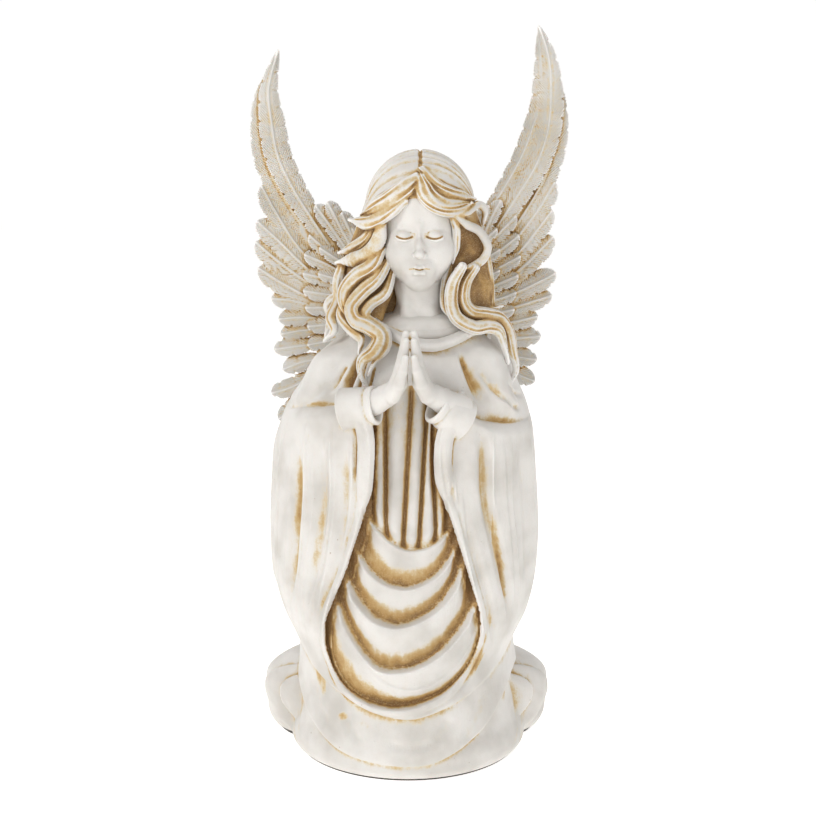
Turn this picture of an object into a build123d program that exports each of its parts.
"""A kneeling, praying angel figurine cast in resin, about 40 cm tall, as the separate castings and fittings it is
glued up from. Millimetres, +Z up, the figure faces -Y. The origin is on the table, at the middle of the felt."""

import os

from build123d import *

# ---- driving dimensions ---------------------------------------------------------------------------------------
FELT_THICK = 1.5
FELT_INSET = 1.5
BASE_Z = FELT_THICK  # underside of the robe casting
PLUG_THICK = 5.0
PLUG_GAP = 0.25
CAVITY_TOP = 186.0

NECK_R = 12.0  # spigot under the head casting
NECK_DEPTH = 16.0
HEAD_X = 6.0  # the head and the neckline stand a little to the right
NECK_CENTRE = (HEAD_X, -7.0, 247.0)  # centre of the collar opening
GLUE_GAP = 0.2

WRIST_R = 5.2  # round tenons of the praying hands
WRIST_START = (29.0, -38.0, 198.0)
WRIST_END = (6.0, -57.0, 209.0)

PIN_R = 1.5  # steel dowels behind each wing
PIN_BORE_R = 1.55
PIN_IN_ROBE, PIN_IN_WING = 15.0, 8.0
PIN_END_GAP = 0.5
PIN_X = 19.0
PIN_HEIGHTS = (216.0, 232.0)
WING_FACE_Y = 37.0  # the wing roots are glued against a flat land on the back
LAND_WIDTH, LAND_DEPTH, LAND_HEIGHT = 16.0, 14.0, 40.0
PAD_DEPTH = 10.0
HAIR_GAP = 0.4  # clear space between the hair and the wing roots

# Every stack is a list of level ellipses: height, centre x, centre y, half width, half depth, turn about Z.
SLEEVES = [  # from under the sleeves' hem up to the neckline
    (28, 0, 0, 60, 62, 0),
    (48, -1, -1, 61.5, 62.5, 0),
    (64, -1.5, -2, 62.5, 60, 0),
    (80, -1.5, -3, 69, 58, 0),
    (97, -2, -4, 73.5, 56, 0),
    (123, -2, -4, 75.5, 54, 0),
    (152, -1.5, -4, 74.5, 52, 0),
    (181, -1.5, -5, 71.5, 50, 0),
    (198, -0.5, -5, 67, 46, 0),
    (210, 1, -4, 60, 39, 0),
    (226, 3, -3, 51.5, 34, 0),
    (238, 6, -3, 38, 30, 0),
    (NECK_CENTRE[2], 7, -6, 23, 22, 0),
]
LAP = [  # the robe's front behind the opening between the sleeves
    (20, 0, 0, 56, 57, 0),
    (50, 0, 0, 58, 58.5, 0),
    (68, 0, 0, 60, 57.5, 0),
    (90, 0, 0, 62, 54.5, 0),
    (110, 0, 0, 62, 50.5, 0),
    (128, 0, 0, 62, 46.5, 0),
    (150, 0, 0, 62, 43.5, 0),
    (190, 0, 0, 62, 40, 0),
    (212, 0, 0, 58, 38, 0),
]
SKIRT = [
    (BASE_Z, 0, 1, 66, 64, 0),
    (5, 0, 1, 68, 66, 0),
    (12, 0, 1, 68.5, 66.5, 0),
    (22, 0, 0, 66.5, 64.5, 0),
    (32, 0, 0, 65, 62.5, 0),
    (45, 0, 0, 63, 60, 0),
    (64, -1, -1, 61, 57, 0),
    (78, -1, -2, 58, 50, 0),
]
TRAIN = [
    (BASE_Z, -1, 22, 78, 47, 0),
    (14, -1, 22, 83.5, 49, 0),
    (26, -1, 22, 85, 48.5, 0),
    (34, -1, 22, 81, 46.5, 0),
    (40, -1, 21, 73, 42, 0),
    (46, -1, 19, 58, 34, 0),
]
CAVITY = [
    (BASE_Z + PLUG_THICK, 0, 1, 44, 43, 0),
    (30, 0, 2, 50, 45, 0),
    (64, 0, 2, 51, 43, 0),
    (97, -1, 3, 61, 40, 0),
    (123, -1, 2, 64, 36, 0),
    (152, -1, 2, 63, 33, 0),
    (178, -1, 0, 56, 29, 0),
    (CAVITY_TOP, 0, 0, 44, 24, 0),
]
OPENING = [  # x and height round the drop-shaped opening between the sleeves
    (-2, 206), (-15, 202), (-20, 188), (-21, 168), (-24, 145), (-31, 118), (-39, 97), (-43, 82), (-41, 66),
    (-32, 50), (-16, 42), (2, 40.5), (19, 47), (32, 61), (38, 78), (36, 98), (30, 120), (23, 143), (17, 165),
    (16, 188), (11, 202),
]
HEM_FRONT_Z, HEM_SIDE_Z, HEM_FRONT_Y = 34.5, 62.0, -66.0  # the sleeves' hem rises from the front to the sides
SKULL = [
    (259, 0, -24, 9, 12, 0),
    (268, 0, -22, 17, 17, 0),
    (284, 0, -14, 24, 26, 0),
    (304, 0, -8, 29, 31, 0),
    (320, 0, -6, 26, 28, 0),
    (331, 0, -6, 16, 18, 0),
    (336, 0, -6, 5, 6, 0),
]
BACK_HAIR = [
    (216, -3, 35, 9, 5, 0),
    (236, -3, 28, 17, 9, 0),
    (262, -1, 18, 33, 12, 0),
    (290, 0, 10, 31, 14, 0),
    (312, 0, 6, 24, 13, 0),
]
SIDE_HAIR = [  # the left side is its mirror image
    (212, 33, -30, 5, 6, 0),
    (230, 34, -22, 10, 9, 0),
    (252, 33, -16, 12, 12, 0),
    (276, 31, -12, 9, 14, 0),
    (300, 26, -10, 8, 15, 0),
]
WING = [  # the right wing, from its lowest feathers to its tip
    (193, 44, 44, 12, 4.0, 6),
    (204, 44, 44, 20, 5.0, 8),
    (232, 43, 44, 27, 6.0, 8),
    (262, 46, 44, 30, 6.5, 6),
    (284, 54, 44, 28, 6.0, 2),
    (302, 64, 43, 21, 5.5, -4),
    (326, 73, 41, 15, 5.0, -12),
    (350, 76.5, 38, 11, 4.5, -20),
    (376, 76, 34, 7, 3.5, -28),
    (394, 73, 31, 3.5, 2.5, -32),
    (401, 71.5, 30, 1.4, 1.4, -32),
]
WING_ROOT_Z = 250.0
LEFT_WING_STRETCH = 0.92  # the left wing stands a little lower above its root
FEATHER_TIPS = [  # x, height and rise in degrees of the feathers along the right wing's outer edge
    (84, 303, 46), (86, 288, 36), (87.5, 268, 20), (86, 254, 13), (78, 241, 7), (79, 229, 0), (77, 215, -12), (76, 202, -20),
]
FEATHER_LENGTH, FEATHER_WIDTH, FEATHER_THICK = 34.0, 12.5, 5.0
FEATHER_Y = 44.0


def stack(rows):
    """One closed solid lofted through level ellipses."""
    faces = []
    for height, x, y, half_width, half_depth, turn in rows:
        plane = Plane(origin=(x, y, height), x_dir=Vector(1, 0, 0).rotate(Axis.Z, turn), z_dir=(0, 0, 1))
        faces.append(plane * Ellipse(half_width, half_depth))
    return loft(faces)


def rod(start, end, radius):
    """A round bar from one point to another."""
    span = Vector(*end) - Vector(*start)
    plane = Plane(origin=start, z_dir=span.normalized())
    return extrude(plane * Circle(radius), amount=span.length)


def neck_bar(radius, depth):
    x, y, z = NECK_CENTRE
    return rod((x, y, z - depth), (x, y, z), radius)


def land(side, grow=0.0):
    """The block on the back that a wing root is glued against."""
    centre = (side * PIN_X, WING_FACE_Y - LAND_DEPTH / 2, sum(PIN_HEIGHTS) / 2)
    return Pos(*centre) * Box(LAND_WIDTH + 2 * grow, LAND_DEPTH + 2 * grow, LAND_HEIGHT + 2 * grow)


def pad(side, grow=0.0):
    """The flat-faced root of a wing, behind its land."""
    centre = (side * PIN_X, WING_FACE_Y + GLUE_GAP + PAD_DEPTH / 2, sum(PIN_HEIGHTS) / 2)
    return Pos(*centre) * Box(LAND_WIDTH + 2 * grow, PAD_DEPTH + 2 * grow, LAND_HEIGHT + 2 * grow)


def pin_bars(side, radius, end_gap=0.0):
    """Two level bars behind each shoulder, part in the robe casting and part in the wing."""
    front = WING_FACE_Y - PIN_IN_ROBE - end_gap
    back = WING_FACE_Y + PIN_IN_WING + end_gap
    return [rod((side * PIN_X, front, z), (side * PIN_X, back, z), radius) for z in PIN_HEIGHTS]


def plug_outline(grow=0.0):
    return Pos(0, 1) * Ellipse(48 + grow, 47 + grow)


def under_hem():
    """Everything below the sleeves' hem, which slopes up from the front and runs level round the back."""
    slope = (HEM_SIDE_Z - HEM_FRONT_Z) / -HEM_FRONT_Y
    profile = Polyline(
        (-120, -60), (-120, HEM_FRONT_Z + slope * (-120 - HEM_FRONT_Y)), (0, HEM_SIDE_Z), (120, HEM_SIDE_Z), (120, -60), close=True
    )
    return extrude(Plane.YZ.offset(-120) * make_face(profile), amount=240)


def front_opening():
    """The space in front of the lap, between the sleeves."""
    outline = make_face(Spline(*OPENING, periodic=True))
    prism = extrude(Plane.XZ.offset(25) * outline, amount=60)
    return prism - stack(LAP)


def robe_block():
    """The robe's outside as a solid: sleeves over the skirt, and the train round both."""
    return (stack(SLEEVES) - under_hem()) + stack(SKIRT) + stack(TRAIN) - front_opening()


def robe_casting(outer):
    """Robe, sleeves, train and shoulders: one hollow casting, open underneath."""
    for side in (-1, 1):
        outer += land(side)
    outer -= stack(CAVITY)
    outer -= extrude(Plane.XY.offset(BASE_Z) * plug_outline(PLUG_GAP), amount=PLUG_THICK)
    outer -= neck_bar(NECK_R + GLUE_GAP, NECK_DEPTH + 1)
    for side in (-1, 1):
        start = (side * WRIST_START[0], *WRIST_START[1:])
        end = (side * WRIST_END[0], *WRIST_END[1:])
        outer -= rod(start, end, WRIST_R + GLUE_GAP)
        for bar in pin_bars(side, PIN_BORE_R, PIN_END_GAP):
            outer -= bar
    return outer


def head_casting(robe_solid):
    """Head, neck and hair in one piece, with a spigot for the collar opening."""
    neck = stack([(NECK_CENTRE[2] + GLUE_GAP, 0, -8, 16, 15, 0), (272, 0, -12, 13, 13, 0)])
    head = stack(SKULL) + neck + stack(BACK_HAIR)
    right = stack(SIDE_HAIR)
    head += right + mirror(right, Plane.YZ)
    head = Pos(HEAD_X, 0, 0) * head
    head -= robe_solid
    for side in (-1, 1):
        head -= land(side, HAIR_GAP)
        head -= pad(side, HAIR_GAP)
        head -= wing(side)
    return head + neck_bar(NECK_R, NECK_DEPTH) + neck_bar(NECK_R, -1.0)


def praying_hands(robe_solid):
    """Both hands pressed together, with a round tenon up each sleeve."""
    palms = stack(
        [
            (208, 1, -58, 13, 6, 0),
            (214, 1, -59, 11, 8, 0),
            (224, 1, -60, 8, 9, 0),
            (236, 1, -60, 5, 7.5, 0),
            (244, 1, -59, 2.5, 4, 0),
        ]
    )
    palms -= robe_solid
    for side in (-1, 1):
        start = (side * WRIST_START[0], *WRIST_START[1:])
        end = (side * WRIST_END[0], *WRIST_END[1:])
        palms += rod(start, end, WRIST_R)
    return palms


def wing(side):
    """One wing with its root pad and two blind holes for the dowels."""
    stretch = LEFT_WING_STRETCH if side < 0 else 1.0
    rows = []
    for z, x, y, chord, thick, turn in WING:
        raised = z if z < WING_ROOT_Z else WING_ROOT_Z + (z - WING_ROOT_Z) * stretch
        rows.append((raised, x, y, chord, thick, turn))
    blade = stack(rows) + pad(1)
    for x, z, rise in FEATHER_TIPS:
        raised = z if z < WING_ROOT_Z else WING_ROOT_Z + (z - WING_ROOT_Z) * stretch
        back = FEATHER_LENGTH / 2
        place = Pos(x, FEATHER_Y + FEATHER_THICK / 2, raised) * Rot(0, -rise, 0) * Pos(-back, 0, 0)
        blade += place * extrude(Plane.XZ * Ellipse(back, FEATHER_WIDTH / 2), amount=FEATHER_THICK)
    in_front = Pos(40, WING_FACE_Y + GLUE_GAP - 25, 220) * Box(90, 50, 80)
    blade -= in_front
    for bar in pin_bars(1, PIN_BORE_R, PIN_END_GAP):
        blade -= bar
    return blade if side > 0 else mirror(blade, Plane.YZ)


def base_plug():
    """The plate that closes the underside."""
    return extrude(Plane.XY.offset(BASE_Z) * plug_outline(), amount=PLUG_THICK)


def felt_base():
    """The felt sheet on the underside, which the figurine stands on."""
    outline = None
    for rows in (SKIRT, TRAIN):
        _, x, y, half_width, half_depth, _ = rows[0]
        oval = Pos(x, y) * Ellipse(half_width - FELT_INSET, half_depth - FELT_INSET)
        outline = oval if outline is None else outline + oval
    return extrude(outline, amount=FELT_THICK)


def main():
    os.makedirs("parts", exist_ok=True)
    robe_solid = robe_block()
    parts = {
        "robe_casting": robe_casting(robe_solid),
        "head_casting": head_casting(robe_solid),
        "praying_hands": praying_hands(robe_solid),
        "base_plug": base_plug(),
        "felt_base": felt_base(),
    }
    for side, name in ((-1, "left"), (1, "right")):
        parts[f"wing_{name}"] = wing(side)
        for level, bar in zip(("lower", "upper"), pin_bars(side, PIN_R)):
            parts[f"wing_pin_{name}_{level}"] = bar
    for name, shape in parts.items():
        export_step(shape, f"parts/{name}.step")


main()
